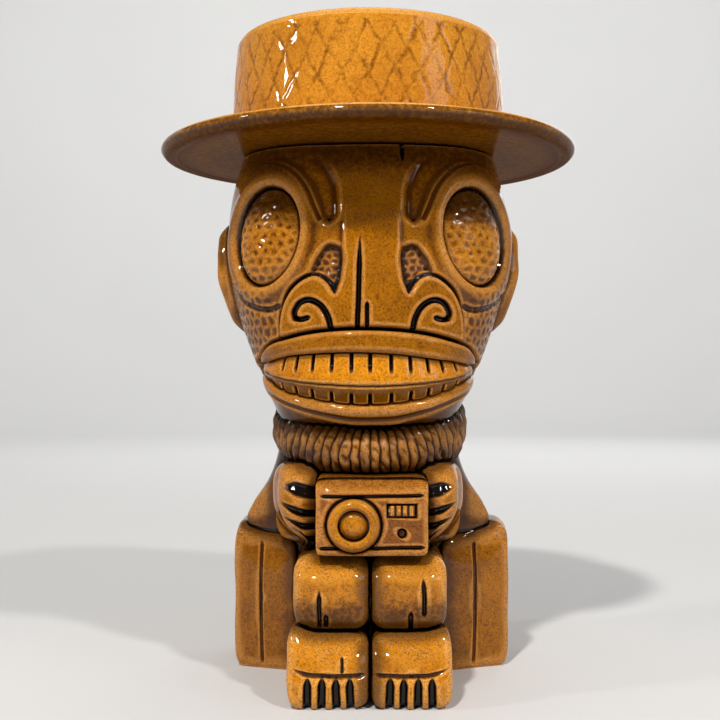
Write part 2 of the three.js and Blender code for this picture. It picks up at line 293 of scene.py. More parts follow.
def waviness(points, size, seed):
    """Smooth pseudo-random numbers near -1 to 1 at each point, whose waves are about size across."""
    draw = np.random.default_rng(seed)
    total = np.zeros(points.shape[:-1])
    for _ in range(7):
        direction = draw.normal(size=3)
        direction *= FULL_TURN / (size * draw.uniform(0.8, 1.6)) / np.linalg.norm(direction)
        total += np.sin(points @ direction + draw.uniform(0, FULL_TURN))
    return total / 3.2


# ---- Meshes from stacks of rings ----

def ring_stack(rings, closed=False):
    """Vertices, quads and triangles of rings of equal length, joined in order. Open stacks are capped."""
    rings = np.asarray(rings, float)
    count, around = rings.shape[:2]
    vertices = rings.reshape(-1, 3)
    a = np.arange(around)
    b = (a + 1) % around
    starts = np.arange(count if closed else count - 1) * around
    nexts = (starts + around) % (count * around)
    quads = np.stack([
        starts[:, None] + a, starts[:, None] + b, nexts[:, None] + b, nexts[:, None] + a,
    ], axis=-1).reshape(-1, 4)
    triangles = np.zeros((0, 3), int)
    if not closed:
        poles = np.array([rings[0].mean(axis=0), rings[-1].mean(axis=0)])
        first, last = len(vertices), len(vertices) + 1
        vertices = np.vstack([vertices, poles])
        end = (count - 1) * around
        triangles = np.vstack([
            vectors(b, a, np.full(around, first)), vectors(end + a, end + b, np.full(around, last)),
        ])
    return vertices, quads, triangles


def split(quads, triangles):
    """All the faces as triangles."""
    return quads[:, [0, 1, 2]], quads[:, [0, 2, 3]], triangles


def outward(vertices, quads, triangles):
    """Turns the faces round if the closed mesh has a negative volume."""
    a, b, c = (vertices[corner] for corner in np.vstack(split(quads, triangles)).T)
    if np.einsum("ij,ij->i", a, np.cross(b, c)).sum() < 0:
        return quads[:, ::-1], triangles[:, ::-1]
    return quads, triangles


def neighbour_average(count, quads, triangles):
    """A function that replaces per-vertex values with the mean over each vertex's neighbours and itself."""
    edges = np.vstack([faces[:, [k, k - 1]] for faces in (quads, triangles) for k in range(faces.shape[1])])
    weight = np.bincount(edges.ravel(), minlength=count) + 2.0

    def average(values):
        total = 2 * values.copy()
        for k in range(values.shape[1]):
            total[:, k] += np.bincount(edges[:, 0], values[edges[:, 1], k], count)
            total[:, k] += np.bincount(edges[:, 1], values[edges[:, 0], k], count)
        return total / weight[:, None]

    return average


def vertex_normals(vertices, quads, triangles):
    normals = np.zeros_like(vertices)
    for faces in split(quads, triangles):
        a, b, c = (vertices[corner] for corner in faces.T)
        cross = np.cross(b - a, c - a)
        for k in range(3):
            for axis in range(3):
                normals[:, axis] += np.bincount(faces[:, k], cross[:, axis], len(vertices))
    return normals / np.maximum(np.linalg.norm(normals, axis=1, keepdims=True), 1e-12)


PIECES = {}  # every finished piece's name, with its mesh data until the glaze has run into the joints


def sculpt(name, rings, node, slot, glaze, stain_and_shade=None, body="mug", relax=10, reach=8.0, closed=False):
    """Keeps a piece's mesh, with its rings' staining and painted shade. Its hollows and edges are found by
    relaxing it.

    The reach is how far from the surface of other pieces the staining and painted shade of a joint reach.
    """
    vertices, quads, triangles = ring_stack(rings, closed)
    quads, triangles = outward(vertices, quads, triangles)
    average = neighbour_average(len(vertices), quads, triangles)
    normals = vertex_normals(vertices, quads, triangles)
    rounds = detail(3 * relax)
    relaxed = vertices.copy()
    for count in range(rounds):
        relaxed = average(relaxed)
        if count == rounds // 3:
            edge = -np.einsum("ij,ij->i", relaxed - vertices, normals)
    carved_and_shaded = np.zeros(len(vertices))
    if stain_and_shade is not None:
        carved_and_shaded[:stain_and_shade.size] = stain_and_shade.ravel()
    PIECES[name] = {
        "vertices": vertices, "quads": quads, "triangles": triangles, "carved_and_shaded": carved_and_shaded, "edge": edge,
        "hollow": np.einsum("ij,ij->i", relaxed - vertices, normals),
        "reach": reach, "node": node, "slot": slot, "glaze": glaze, "body": body,
    }


# ---- The face's relief, in the front view ----

EYE = {"x": 31.8, "z": 135.0, "inner": 10.8, "outer": 9.6, "half_height": 15.2, "lean": 0.085}
BROW = [(36, 156.8), (30.3, 157.6), (24.4, 155), (19.8, 149.7), (16.9, 143), (15.4, 138.9),
        (12.2, 137.2), (9.3, 139.6), (8.9, 144), (9.8, 151), (13.4, 157.4), (20, 160.4), (29, 160.2)]
BROW_EDGE = [(36.5, 156), (33.6, 157.4), (29.6, 157.4), (24.4, 155), (19.8, 149.7), (16.9, 143),
             (15.4, 139.4)]
CHEEK = [(11.2, 132), (8.6, 130.7), (7.5, 127.4), (8, 123.6), (9.1, 119.6), (10.6, 117.4), (12.4, 120.6),
         (14.9, 122.9), (18, 123.4), (17.2, 126.6), (15.3, 129.6), (13.4, 131.6)]
WING = [(10.4, 117.4), (12.9, 120.9), (16, 122.6), (19.7, 121.5), (23.3, 118.2), (25.4, 113.8),
        (26.2, 109), (26.2, 104.4)]
NOSE_BASE = [(26.3, 104), (26.3, 99), (-26.3, 99), (-26.3, 104)]
NOSE_BRIDGE = [(-9, 121), (-8.6, 128), (-8, 150), (8, 150), (8.6, 128), (9, 121)]
SCROLL = [(11.2, 106.4), (11.9, 110), (13.9, 113.5), (17.2, 115.4), (20, 114.7), (21.5, 112.2),
          (21.3, 110.3)]
SCROLL_END = [(21.4, 110.2), (19.4, 109.9), (16.9, 110.6)]
EYE_BAG = [(26, 114.3), (30.8, 113), (37.3, 115.2), (42.6, 121)]
LIP_TOP = [(-34.2, 98), (-30.5, 102), (-25, 104.3), (-17.6, 106), (-9, 106.9), (0, 107.1), (9, 106.7),
           (17.6, 105.6), (25, 103.8), (30.5, 101.4), (34.2, 97.6)]
LIP_PARTING_TOP = [(-34, 95.8), (-27.5, 98.2), (-20.2, 99.3), (-10, 99.9), (0, 99.9), (10, 99.3),
                   (20, 98), (27.5, 97.2), (34, 95.4)]
LIP_PARTING_BOTTOM = [(-34, 95.4), (-29.3, 92.4), (-23.8, 89.9), (-15, 88), (-7, 87), (0, 86.8),
                      (8, 87.2), (15.5, 88.3), (23, 90.4), (29.3, 92.6), (34, 95)]
LIP_BOTTOM = [(-34.2, 93.2), (-29.8, 88.6), (-24.4, 85.3), (-17.5, 82.9), (-8.5, 81), (0, 80.4),
              (8.5, 80.8), (17.5, 83), (24.4, 85.6), (29.8, 88.9), (34.2, 93)]
BITE = [(-33, 95.6), (-26, 93.9), (-18, 92.5), (-9, 91.9), (0, 91.7), (9, 91.9), (18, 92.6), (26, 94),
        (33, 95.2)]
TOOTH_GAPS = [-25, -21, -16.3, -11, -5.6, -0.4, 5.4, 10.7, 15.6, 19.8, 24]


def mirrored(points, side):
    return [(MIDDLE + side * x, z) for x, z in points]


def eye_depth(side, x, z):
    """How far inside the eye's oval each point is, in millimetres."""
    dz = z - EYE["z"]
    dx = x - (MIDDLE + side * EYE["x"])
    dx = dx + side * EYE["lean"] * dz
    across = dx / np.where(side * dx > 0, EYE["outer"], EYE["inner"])
    radius = np.hypot(across, dz / EYE["half_height"])
    return (1 - radius) * (EYE["inner"] + EYE["half_height"]) / 2


def inside_cheek(side, x, z):
    return inside_of(flowing(mirrored(CHEEK, side), closed=True), x, z)


def muzzle(x, z):
    """How far the lips and teeth are pushed forward."""
    return 2.0 * np.exp(-(((x - MIDDLE) / 20) ** 2)) * smooth(76, 90, z)


def raise_nose(face):
    """The muzzle and the nose with its wings. It returns how deep each point is inside the nose's outline."""
    middle = face.x - MIDDLE
    face.height += 2.2 * np.exp(-((middle / 17) ** 2) - ((face.z - 109) / 13) ** 2)
    face.height += 1.2 * np.exp(-((middle / 11) ** 2) - ((face.z - 134) / 22) ** 2)
    wing = flowing(WING)
    outline = np.vstack([
        wing + (MIDDLE, 0), np.add(NOSE_BASE, (MIDDLE, 0)),
        wing[::-1] * (-1, 1) + (MIDDLE, 0), np.add(NOSE_BRIDGE, (MIDDLE, 0)),
    ])
    nose = inside_of(outline, face.x, face.z)
    face.height += 2.1 * smooth(-0.35, 0.9, nose) * (1 - smooth(106, 150, face.z))
    return nose


def carve_half(face, side, nose):
    """One side's eye socket and the bag under it, the brow, the cheek's hollow, and the nose's wing."""
    x, z = face.x, face.z
    deep = eye_depth(side, x, z)
    face.height += 1.2 * np.exp(-(((deep + 2.0) / 2.2) ** 2)) * smooth(0.5, -1.0, deep)
    face.sink(smooth(-0.35, 0.75, deep), 3.0)
    face.darken(smooth(-0.25, 0.35, deep))
    face.groove(mirrored(EYE_BAG, side), 2.2, 0.7, (0.1, 0.3), 0.75)
    brow = inside_of(flowing(mirrored(BROW, side), closed=True), x, z)
    face.cut(2.0 * smooth(-0.5, 2.4, brow) * (1 - 0.8 * smooth(150, 160, z)), 0.1)
    face.groove(mirrored(BROW_EDGE, side), 1.8, 0.6, (0.6, 0.0), 0.5)
    face.cut(1.7 * smooth(-0.5, 1.5, inside_cheek(side, x, z)), 0.14)
    rim, _ = distance_to(flowing(mirrored(WING, side)), x, z, 3.0)
    face.cut(np.where(nose < 0.2, 1.3 * (1 - smooth(0.3, 1.5, rim)), 0), 0.8)
    face.groove(mirrored(SCROLL, side), 1.9, 2.0)
    face.groove(mirrored(SCROLL_END, side), 1.7, 1.9, (0.0, 0.2))


def carve_face(x, z):
    face = Carving(x, z)
    nose = raise_nose(face)
    for side in (-1, 1):
        carve_half(face, side, nose)
    face.groove([(-2.3, 134.2), (-2.5, 124), (-2.7, 115), (-3, 107)], 1.6, 2.1, (0.35, 0.0))
    face.groove([(-0.3, 114.9), (-0.3, 111), (-0.3, 107.4)], 1.4, 1.9, (0.2, 0.1))
    face.groove([(10.1, 162.5), (10.1, 159), (10.4, 156)], 1.5, 1.4, (0.0, 0.6))

    # The mouth is a bed for the teeth, with a dark trench round the lips.
    mouth = inside_of(np.vstack([flowing(LIP_TOP), flowing(LIP_BOTTOM)[::-1]]), x, z)
    face.sink(smooth(-1.1, 0.6, mouth), 2.6)
    face.darken(smooth(-0.7, -0.1, mouth) * (np.abs(x - MIDDLE) < 27))
    face.darken(smooth(0.2, 0.8, mouth))
    return face


def cheek_texture(x, z, arc):
    """Hammered dimples below the eyes and fine ones in the cheek hollows, as depths."""
    middle = np.abs(x - MIDDLE)
    region = smooth(24.5, 28, middle) * smooth(120, 113, z + (middle - 30) * -0.55) * smooth(84, 97, z)
    depth = np.zeros_like(x)
    coarse = region > 0.01
    depth[coarse] = 0.34 * region[coarse] * hammered(3, (-70, 78), (70, 126), 3.3, arc[coarse], z[coarse])
    hollows = sum(smooth(0.4, 1.2, inside_cheek(side, x, z)) for side in (-1, 1))
    fine = hollows > 0.01
    depth[fine] += 0.42 * hollows[fine] * hammered(4, (-20, 114), (22, 136), 2.4, x[fine], z[fine])
    return depth


# ---- The casting ----

ARC = 40.0  # the radius at which the casting's angles are measured as lengths


def uneven(low, high, spacing):
    """Places from low to high whose spacing follows a function."""
    places = [low]
    while places[-1] < high:
        places.append(places[-1] + spacing(places[-1]))
    places = np.array(places)
    return low + (places - low) * (high - low) / (places[-1] - low)


def casting_grid():
    """Angles and heights of the outer skin's points, finer on the face."""
    fine, coarse = detail((0.27, 1.1))
    angle = uneven(-math.pi, math.pi, lambda a: (coarse if abs(a) > 1.75 else fine) / ARC)[:-1]
    height = uneven(0.0, DECK - 0.6, lambda z: fine if z > 78 else coarse * 0.8)
    return np.meshgrid(angle, height)


def form_normal(a, z):
    step = 1e-3
    run_a = form_point(a + step, z) - form_point(a, z)
    run_z = form_point(a, z + step) - form_point(a, z - step)
    return unit(np.cross(run_a, run_z))


def casting_skin(a, z):
    """The outer skin with the face and the hammer marks on the head, and long gouges on the trunk."""
    skin = form_point(a, z)
    x, arc, turned = skin[..., 0], a * ARC, np.abs(a)
    surface = Carving(arc, z)
    front = (turned < 1.7) & (z > 76)
    face = carve_face(x[front], z[front])
    fade = smooth(1.56, 1.40, turned[front])
    surface.height[front] = (face.height - cheek_texture(x[front], z[front], arc[front])) * fade
    surface.stain_and_shade[front] = face.stain_and_shade * fade

    behind = smooth(1.36, 1.6, turned) * smooth(86, 96, z) * smooth(160, 150, z)
    marked = behind > 0.01
    dimples = hammered(5, (-130, 80), (130, 164), 3.9, arc[marked], z[marked])
    surface.height[marked] -= 0.34 * behind[marked] * dimples
    for turn in np.radians([-168, -148, -126, 126, 148, 168]) * ARC:
        surface.groove([(turn, 8), (turn * 1.003, 30), (turn, 56)], 2.2, 1.1, (0.3, 0.3))
    surface.height += 0.14 * waviness(skin, 22, 11)
    # Darker on the trunk between the haunches and the jaw, and a painted shadow of the brim on the forehead.
    shaded_neck = 0.16 * smooth(90, 82, z) * smooth(38, 50, z)
    painted_brim_shadow = 0.46 * smooth(147, 160, z) * smooth(1.5, 1.0, turned)
    surface.darken(shaded_neck + painted_brim_shadow)

    outer = skin + form_normal(a, z) * surface.height[..., None]
    foot_rows = np.array([0.2, 0.36, 0.48, 0.52])  # heights over the form, which round the foot's edge
    outer[:4, :, 2] = skin[:4, :, 2] + foot_rows[:, None]
    return skin, outer, surface.stain_and_shade


def casting_inside(angle, rim):
    """Rings from the rim over the deck, down the bore and the inner walls, to the middle of the floor."""
    around = vectors(np.sin(angle), -np.cos(angle), np.zeros_like(angle))
    edge = rim * (0.98, 0.98, 1) + (0, 0, 0.6)
    mouth = around * (MOUTH_RADIUS + 0.5) + (0, 0, DECK)
    ceiling = DECK - DECK_THICKNESS
    deck = [rim * (0.995, 0.995, 1) + (0, 0, 0.35), edge]
    deck += [edge * (1 - share) + mouth * share for share in (0.35, 0.7, 1.0)]
    bore = [around * MOUTH_RADIUS + (0, 0, z) for z in (DECK - 0.5, DECK - 3, ceiling)]
    levels = np.concatenate([np.linspace(ceiling - 0.4, 60, 34), np.linspace(57, FLOOR + 2, 20)])
    walls = [form_point(angle, np.full_like(angle, z), -WALL) for z in levels]
    floor = [walls[-1] * (share, share, 0) + (0, 0, z)
             for share, z in ((0.96, FLOOR + 0.6), (0.88, FLOOR), (0.3, FLOOR))]
    return deck + bore + walls + floor


def make_casting():
    a, z = casting_grid()
    skin, outer, stain_and_shade = casting_skin(a, z)
    base = [skin[0] * (share, share, 0) + (0, 0, lift)
            for share, lift in ((0.2, 1.2), (0.75, 1.2), (0.8, 0.0), (0.96, 0.0))]
    rings = base + list(outer) + casting_inside(a[0], outer[-1])
    stain_and_shade = np.vstack([np.zeros((len(base), stain_and_shade.shape[1])), stain_and_shade])
    sculpt("casting", rings, "mug_body", "amber_glaze", "amber", stain_and_shade, relax=9, reach=5.5)


# ---- Eyes, lips and teeth ----

def make_eye(side):
    """A dimpled ball in the socket, which stands out below and sinks under the brow above."""
    name, _, _ = sided(side, "eye")
    share = np.linspace(0.03, 1.0, detail(46))
    r, t = np.meshgrid(share, round_angles(detail(220)), indexing="ij")
    inset = 0.35  # the dark groove between the eye and its socket
    dz = r * np.cos(t) * (EYE["half_height"] - inset)
    half_width = np.where(side * np.sin(t) > 0, EYE["outer"], EYE["inner"]) - inset
    x = MIDDLE + side * EYE["x"] + (r * np.sin(t) * half_width - side * EYE["lean"] * dz)
    z = EYE["z"] + dz
    skin, normal = front_skin(x, z)
    low, high = (x.min() - 3, z.min() - 3), (x.max() + 3, z.max() + 3)
    dimples = hammered(20 + side, low, high, 2.9, x, z) * smooth(1.0, 0.86, r)
    tilt = np.cos(t) * r
    dome = -2.3 + 3.1 * (1 - r**2.4) ** 0.5 - 0.9 * tilt * (1 - r**4)
    front = skin + normal * (dome - 0.22 * dimples)[..., None]
    back = skin + normal * -2.7
    # The dimples are stained darker; the upper part of the ball is painted shade from the brow, reaching
    # lower on the right eye.
    stain_and_shade = np.maximum(0.3 * dimples, 0.55 * smooth(0.05 - 0.1 * side, 0.6 - 0.1 * side, tilt))
    rings = np.concatenate([front, back[::-6]])
    sculpt(f"{name}_ball", rings, name, "amber_glaze", "eye", stain_and_shade, relax=8, reach=1.4)


def height_at(line, x):
    return np.interp(x, line[:, 0], line[:, 1])


def make_lip(name, outer_line, inner_line, proud, crease_depth, crease_width):
    """A rounded roll between its outer line and the parting, along the form, pointed at the corners."""
    end = 33.6
    x = end * np.sin(np.linspace(-math.pi / 2, math.pi / 2, detail(300))[1:-1])
    x, t = np.meshgrid(x, round_angles(detail(72)), indexing="ij")
    outer, inner = height_at(flowing(outer_line), x), height_at(flowing(inner_line), x)
    ends = np.clip(1 - np.abs(x / end) ** 6, 0, 1) ** 0.5
    gap = 0.45 - 0.33 * smooth(22, 28, np.abs(x))
    half = np.maximum(np.abs(outer - inner) / 2 - gap, 0.25) * np.clip(ends * 1.3, 0, 1)
    # A section with a flat back, a full front and tight edges.
    z = (outer + inner) / 2 + half * signed_power(np.cos(t), 0.75)
    bulge = np.where(np.sin(t) > 0, np.abs(np.sin(t)) ** 0.42, -0.25 * np.abs(np.sin(t)) ** 0.5)
    height = -2.2 + (proud + 2.2) * bulge * ends + muzzle(x, z)
    crease = 1 - smooth(0.2, 1, np.abs(z - (inner + (outer - inner) * 0.52)) / crease_width)
    height -= crease_depth * crease * smooth(31, 24, np.abs(x))
    skin, normal = front_skin(x, z)
    points = skin + normal * height[..., None]
    points += 0.08 * waviness(points, 7, 31)[..., None] * normal
    sculpt(f"{name}_roll", points, name, "amber_glaze", "amber", reach=2)


def make_teeth(name, side):
    """A row of teeth, up from the bite if side is 1. It leans out from the gum, and gouges part its teeth."""
    gum_line, ridge, lean = (LIP_PARTING_TOP, 2.5, 2.7) if side > 0 else (LIP_PARTING_BOTTOM, 2.3, 1.7)
    end = 32.4
    x = np.linspace(-end, end, detail(440))[1:-1]
    rows = np.concatenate([np.linspace(0, 1, detail(44)), np.full(4, 2.0)])  # the last rows are its back
    x, row = np.meshgrid(x, rows, indexing="ij")
    share, back = np.clip(row, 0, 1), row > 1
    gum = height_at(flowing(gum_line), x) + side * 0.2
    bite = height_at(flowing(BITE), x) + side * 0.06
    z = bite + (gum - bite) * np.where(back, 0.5, share)
    ends = np.clip((end - np.abs(x)) / 9, 0, 1) ** 0.5
    cut = np.zeros_like(x)
    for gap in TOOTH_GAPS:
        place = gap + MIDDLE + (share - 0.5) * 0.02 * gap
        width = 0.62 * (1 - 0.25 * np.abs(gap) / 25)
        cut = np.maximum(cut, smooth(0.22, 0.62, share) * (1 - smooth(0.3, 1.3, np.abs(x - place) / width)))
    # Each tooth is a little crowned between its gouges.
    gaps = np.array([-29.5, *TOOTH_GAPS, 28.5]) + MIDDLE
    nearest = np.min(np.abs(x[..., None] - gaps), axis=-1)
    height = (ridge - lean * share**1.15) * ends - 1.2 * (1 - ends) - 1.5 * cut
    height += 0.22 * smooth(0, 2.0, nearest) - 0.3 * smooth(0.12, 0.0, share) + muzzle(x, z)
    skin, normal = front_skin(x, z)
    points = skin + normal * np.where(back, -3.0, height)[..., None]
    sculpt(f"{name}_row", points, name, "honey_glaze", "honey", cut * 1.1, relax=7, reach=1.1)


# ---- Lumps: closed forms sliced along Y, from the front pole to the back one ----

def section(count, squareness):
    """A unit superellipse in X and Z, sampled evenly along its length."""
    t = np.linspace(0, FULL_TURN, 4001)
    x, z = signed_power(np.sin(t), 2 / squareness), signed_power(np.cos(t), 2 / squareness)
    run = np.concatenate([[0], np.cumsum(np.hypot(np.diff(x), np.diff(z)))])
    places = np.linspace(0, run[-1], count, endpoint=False)
    return np.interp(places, run, x), np.interp(places, run, z)


def slab(low, high, squareness, roundness, front_roll, spacing):
    """A boxy lump between two corners. Its front meets the sides in a roll of front_roll millimetres."""
    low, high = np.array(low, float), np.array(high, float)
    centre, half = (low + high) / 2, (high - low) / 2
    sx, sz = section(int(2 * (half[0] + half[2]) * 2 / spacing), squareness)
    share = np.linspace(0.02, 1, int(min(half[0], half[2]) / spacing)) ** 0.9
    roll = front_roll * (1 - (1 - share**roundness) ** (1 / roundness))
    slices = int((high[1] - low[1] - 2 * front_roll) / (3 * spacing))
    middle = np.linspace(low[1] + front_roll, high[1] - front_roll, slices)
    scale = np.concatenate([share, np.ones(slices), share[::-3]])
    y = np.concatenate([low[1] + roll, middle, high[1] - roll[::-3]])
    x = centre[0] + half[0] * scale[:, None] * sx
    z = centre[2] + half[2] * scale[:, None] * sz
    return vectors(x, y[:, None] + 0 * x, z)


def coordinates(points):
    """Views of the points' x, y and z, which change with the points."""
    return points[..., 0], points[..., 1], points[..., 2]


def worn(points, depth, size, seed):
    """Makes the clay a little uneven, and keeps it above the table."""
    points += depth * waviness(points, size, seed)[..., None]
    points[..., 2] = np.maximum(points[..., 2], 0)


def meet_in_middle(side, low, high, outer_shift):
    """Makes a leg or foot reach the gap between the two of them, and shifts its outer side to the right."""
    low[0], high[0] = (low[0] + outer_shift, 0.45) if side < 0 else (0.75, high[0] + outer_shift)


SHIN_CUTS = {
    -1: [[(-13.9, 33), (-13.8, 27), (-13.9, 21.2)], [(-11.9, 26.2), (-11.9, 24), (-12, 21.8)]],
    1: [[(15.6, 36.4), (15.9, 31), (15.9, 25)], [(12.3, 27.2), (12.2, 24), (12.2, 20.4)]],
}


def make_leg(side):
    """A knee that rolls back under the camera, and a shin that tucks in at the ankle."""
    name, low, high = sided(side, "leg")
    meet_in_middle(side, low, high, 0.6)
    high[1] = -3
    points = slab(low, high, 4.6, 2.5, 5.0, detail(0.3))
    x, y, z = coordinates(points)
    front = smooth(low[1] + 10, low[1] + 4, y)
    up = (z - low[2]) / (high[2] - low[2])
    y += front * (4.6 * smooth(0.6, 1.05, up) ** 1.4 + 0.8 * smooth(0.2, 0.0, up) ** 1.5)
    shin = Carving(x, z, front)
    for line, width in zip(SHIN_CUTS[side], (1.5, 1.6)):
        shin.groove(line, width, 1.5, (0.3, 0.1))
    # Painted shade: the lower shin is darker.
    shin.darken(0.42 * smooth(34, 26, z))
    y -= shin.height
    worn(points, 0.1, 9, 41 + side)
    sculpt(f"{name}_shin", points, name, "amber_glaze", "knee", shin.stain_and_shade, relax=12)


def make_foot(side):
    """The instep rises from a crease over the toes and slopes back to the ankle. Its outer edge stands up."""
    name, low, high = sided(side, "foot")
    meet_in_middle(side, low, high, 0.4)
    points = slab(low, high, 5.6, 2.6, 4.2, detail(0.26))
    x, y, z = coordinates(points)
    front = smooth(low[1] + 9, low[1] + 3.5, y)
    middle = (low[0] + high[0]) / 2
    y += front * (3.8 * smooth(10, 20.3, z) ** 1.4)
    z += 2.6 * smooth(3, 11, side * (x - middle)) * smooth(11, 20, z) * smooth(-28, -40, y)
    foot = Carving(x, z, front)
    crease = [(10.6, 12), (8, 10.6), (4, 9.9), (0, 9.7), (-6, 9.7), (-10.5, 9.9)]
    foot.groove([(middle + side * out, up) for out, up in crease], 1.7, 0.9, (0.25, 0.1), 0.6)
    foot.height += 0.7 * front * smooth(9.9, 7.0, z)
    for toe in side * np.array([-5.6, -1.7, 2.3, 6.1]):
        foot.groove([(middle - toe, 10), (middle - toe * 1.02, 5), (middle - toe * 1.04, -2)], 2.7, 2.1,
                    (0.3, 0.0), 0.65)
    if side < 0:
        foot.groove([(-7.4, 15.4), (-7.3, 12.8), (-7.4, 10.4)], 1.1, 0.7, (0.3, 0.1), 1.0)
    y -= foot.height
    worn(points, 0.1, 8, 51 + side)
    sculpt(f"{name}_toes", points, name, "honey_glaze", "honey", foot.stain_and_shade, relax=12)


def make_seat_block(side):
    """A block of the seat. A shallow panel stands in its border, beside a long gouge."""
    name, low, high = sided(side, "seat_block")
    inner = 22.8  # the block's inner face, before the trunk and limbs are fitted against it
    low[0], high[0] = (low[0] + 0.4, -inner) if side < 0 else (inner, high[0] + 1.9)
    low[1] = -11
    points = slab(low, high, 9, 2.2, 2.6, detail(0.36))
    x, y, z = coordinates(points)
    out, width = np.abs(x) - inner, high[0] - low[0]
    gouge_place = 10.9
    inside = np.minimum(np.minimum(out - gouge_place - 1.0, width - 1.4 - out),
                        np.minimum(z - 1.6, high[2] - 3.0 - z))
    face = Carving(x, z, smooth(low[1] + 3.4, low[1] + 1.2, y))
    face.height -= face.mask * 0.2 * smooth(0, 3.6, inside)
    beside = inner + gouge_place
    face.groove([(side * beside, 44.5), (side * (beside + 0.3), 25), (side * beside, 1.5)], 1.3, 0.8,
                (0.05, 0.05), 0.42)
    face.darken(0.2 * smooth(high[2] - 6, high[2] - 2, z))
    y -= face.height
    # The front turns back towards the outside, and the top slopes down to the front and the back.
    y += (out * 0.35) * smooth(high[1] - 8, low[1] + 8, y)
    z -= (5.6 * smooth(4, low[1], y) + 1.5 * smooth(14, high[1], y)) * smooth(28, high[2], z)
    worn(points, 0.12, 12, 61 + side)
    sculpt(f"{name}_panel", points, name, "amber_glaze", "amber", face.stain_and_shade)


FINGER_GAPS = [  # each gap's line on the right hand, and its width
    ([(28.6, 61.2), (23.4, 60.6), (14.5, 59)], 4.6),
    ([(29.2, 57), (23.2, 54.5), (14.5, 52.9)], 2.6),
    ([(28.8, 52.6), (22.8, 50.1), (14.5, 49.2)], 2.5),
    ([(27.2, 49), (22, 46.4), (14.5, 45.3)], 2.3),
]


def make_arm(side):
    """The hand is slimmer than the forearm behind it, and its heel curves in under the camera."""
    name, low, high = sided(side, "arm")
    inner, outer = 14.4, 28.9
    low[0], high[0] = (-outer, -inner) if side < 0 else (inner, outer)
    low[1], high[1] = min(low[1], -36), 2
    low[2], high[2] = 42.4, 67.4
    points = slab(low, high, 4.0, 2.2, 6.5, detail(0.28))
    x, y, z = coordinates(points)
    out = np.abs(x)
    hand = Carving(out, z, smooth(low[1] + 12, low[1] + 5, y))
    y += hand.mask * 3.6 * smooth(57, 68, z) ** 1.3
    for line, width in FINGER_GAPS:
        hand.groove(line, width, 2.0, (0.5, 0.0), 0.7)
    y -= hand.height
    heel = np.clip((57 - z) / 12.5, 0, 1) ** 2.2 * smooth(-12, -24, y)
    x -= side * (2.2 * smooth(-22, -31, y) + 7.5 * heel) * smooth(17, 27.5, out)
    worn(points, 0.08, 8, 71 + side)
    sculpt(f"{name}_hand", points, name, "amber_glaze", "amber", hand.stain_and_shade)


def make_ear(side):
    """A flat upright lobe with a rolled rim round a shallow hollow. It narrows towards the jaw."""
    name, low, high = sided(side, "ear")
    centre, half = (low + high) / 2, (high - low) / 2
    share, turn = np.meshgrid(np.linspace(0.02, 1, 40), round_angles(160), indexing="ij")
    across, upright = signed_power(np.cos(turn), 0.85), signed_power(np.sin(turn), 0.9)
    z = centre[2] + half[2] * share * upright
    narrow = 1 - 0.3 * smooth(centre[2], low[2], z)
    y = centre[1] - 1 + half[1] * share * across * narrow + 0.08 * (z - centre[2])
    rim = np.exp(-(((share - 0.74) / 0.16) ** 2))
    out = 47.1 + 1.2 * rim - 0.5 * smooth(0.6, 0.2, share) - 2.6 * share**9
    out -= 5.6 * smooth(centre[2] + 3, low[2] - 3, z)
    face = vectors(side * out, y, z)
    root_depth = side * 36.5
    root = face[-1] * (0, 1, 1) + (root_depth, 0, 0)
    steps = np.linspace(0, 1, 12)[1:, None, None]
    sides = face[-1] * (1 - steps) + root * steps
    cap = root * (0, 0.3, 0.3) + (root_depth, 0.7 * centre[1], 0.7 * centre[2])
    rings = np.concatenate([face, sides, cap[None]])
    rings += 0.1 * waviness(rings, 7, 75 + side)[..., None]
    sculpt(f"{name}_lobe", rings, name, "amber_glaze", "amber", relax=8, reach=1.6)


# ---- The garland ----

def garland_line(a):
    """The middle of the garland at each angle round the neck. It hangs down at the front."""
    forward = np.cos(a)
    return vectors(0.6 + 24.3 * np.sin(a), -1.5 - 28.5 * forward, 77.8 - 4.6 * forward - 2.6 * forward**2)


def make_garland():
    """Strands that lie side by side round the neck, a little unevenly. The collar is deeper at the sides."""
    strands = 66
    a, t = np.meshgrid(round_angles(detail(1250)), round_angles(detail(72)), indexing="ij")
    centre = garland_line(a)
    tangent = unit(garland_line(a + 1e-3) - garland_line(a - 1e-3))
    away = vectors(np.sin(a), -np.cos(a), 0 * a)
    out = unit(away - tangent * np.sum(away * tangent, axis=-1, keepdims=True))
    up = np.cross(out, tangent)
    up *= np.sign(up[..., 2:3])
    direction = out * np.cos(t)[..., None] + up * np.sin(t)[..., None]
    skin = centre + direction * 6
    swirl = 1.6 * np.sin(a) * np.sin(t)
    phase = strands * (a + 0.008 * waviness(skin, 6.5, 81)) + swirl + 0.5 * waviness(skin, 4, 82)
    ridge = np.abs(np.sin(phase / 2)) ** 0.9
    clump = 1 + 0.22 * waviness(centre, 5, 83)
    radius = 5.9 + 0.95 * ridge * clump + 0.26 * waviness(skin, 2.2, 84) * ridge
    direction[..., 2] *= 1.05 + 0.45 * np.sin(a) ** 2
    points = centre + direction * radius[..., None]
    # Staining between the strands, made stronger on the strands' undersides as painted shade.
    stain_and_shade = np.clip((0.62 - ridge) * 1.7, 0, 0.85) * (0.6 + 0.4 * smooth(0.4, -0.7, np.sin(t)))
    sculpt("garland_strands", points, "garland_collar", "stained_glaze", "garland", stain_and_shade, relax=8,
           closed=True)


# ---- The camera ----

LENS_X = (LENS_LOW[0] + LENS_HIGH[0]) / 2 + MIDDLE * 0.5
LENS_Z = (LENS_LOW[2] + LENS_HIGH[2]) / 2
WINDOW_X, WINDOW_Z, WINDOW_WIDTH, WINDOW_HEIGHT = 8.6 + MIDDLE, 55.3, 8.8, 4.1
KNOB_X, KNOB_Z = 8.6 + MIDDLE, 48.9


